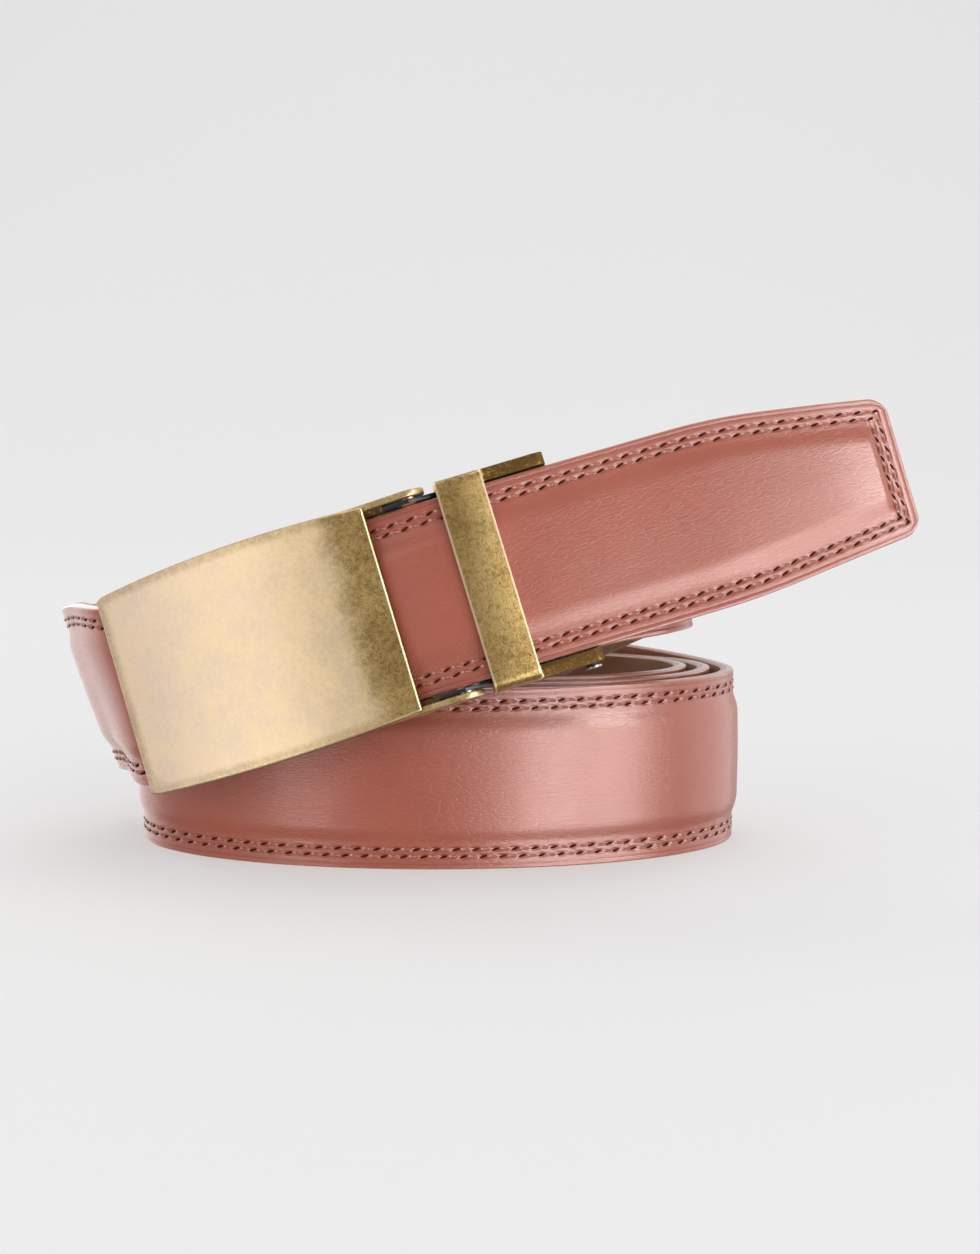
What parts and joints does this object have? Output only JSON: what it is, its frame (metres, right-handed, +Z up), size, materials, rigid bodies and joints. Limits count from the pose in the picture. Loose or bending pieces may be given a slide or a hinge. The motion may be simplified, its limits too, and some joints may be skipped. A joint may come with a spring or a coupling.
{
  "type": "ratchet belt",
  "caption": "Padded leather ratchet belt, fastened, coiled and stood on its edge, with a curved brass buckle plate, release lever, clamp and keeper bar.",
  "frame": {"origin": "under the middle of the belt's box, on the surface that the coil stands on", "axes": "+Z up, +X along the coil towards the strap's free end, -Y the side that the buckle faces"},
  "size_m": [0.1692, 0.0938, 0.0899],
  "materials": {
    "leather": "fine-grained terracotta leather with a soft sheen, smooth edge paint and reddish-brown stitching",
    "lining": "plain dark brown lining leather",
    "track": "black moulded nylon",
    "antique_brass": "aged brass with an olive patina, polished bright where it is worn",
    "gunmetal": "dark gunmetal plating",
    "steel": "plain bright steel"
  },
  "bodies": {
    "belt": {"strap_leather": "leather", "strap_lining": "lining", "ratchet_track": "track", "face_plate": "antique_brass", "ratchet_housing": "gunmetal", "lever_pin": "steel", "hinge_pin_upper": "antique_brass", "hinge_pin_lower": "antique_brass", "clamp_channel": "gunmetal", "keeper_frame": "antique_brass", "clamp_jaw": "steel", "jaw_rivet_upper": "steel", "jaw_rivet_lower": "steel"},
    "lever": {"release_lever": "steel"}
  },
  "joints": [
    {"name": "lever_turn", "type": "hinge", "parent": "belt", "child": "lever", "pos_m": [-0.03274, -0.02993, 0.04366], "axis": [-0.29, 0.1613, 0.9433], "range_deg": [0, 7.5], "stiffness_Nm_per_rad": 0.06, "springref_deg": -20.05}
  ]
}
